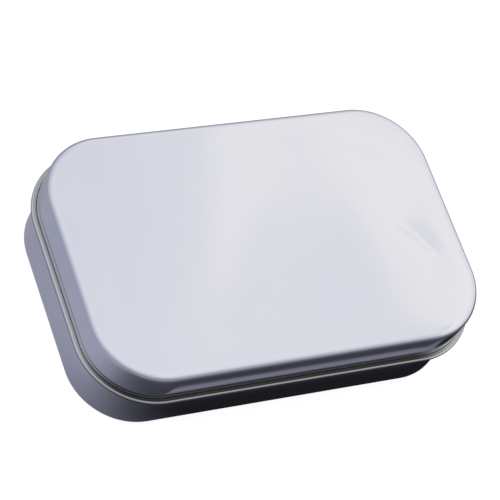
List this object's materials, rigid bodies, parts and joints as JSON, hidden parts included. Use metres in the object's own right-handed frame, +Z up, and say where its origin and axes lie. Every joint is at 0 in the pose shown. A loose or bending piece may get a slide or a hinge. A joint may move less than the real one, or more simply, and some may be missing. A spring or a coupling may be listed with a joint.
{
  "type": "hinged tin",
  "caption": "Shallow rectangular tinplate box with round corners for a deck of cards. The slip lid's rolled rim is the hinge pin, held by tongues lanced from the body's back wall.",
  "frame": {"origin": "centre of the body's base, on the surface it stands on, lid shut", "axes": "+X along the length, +Y to the hinge at the back, +Z up"},
  "size_m": [0.1152, 0.0756, 0.0272],
  "materials": {
    "tinplate": "bright tinplate, clear satin lacquer outside, bare inside and on the lid's rolled bead"
  },
  "bodies": {
    "base": {"tin_body": "tinplate"},
    "lid": {"tin_lid": "tinplate"}
  },
  "joints": [
    {"name": "lid_hinge", "type": "hinge", "parent": "base", "child": "lid", "pos_m": [0, 0.0365, 0.0159], "axis": [-1, 0, 0], "range_deg": [0, 180]}
  ]
}
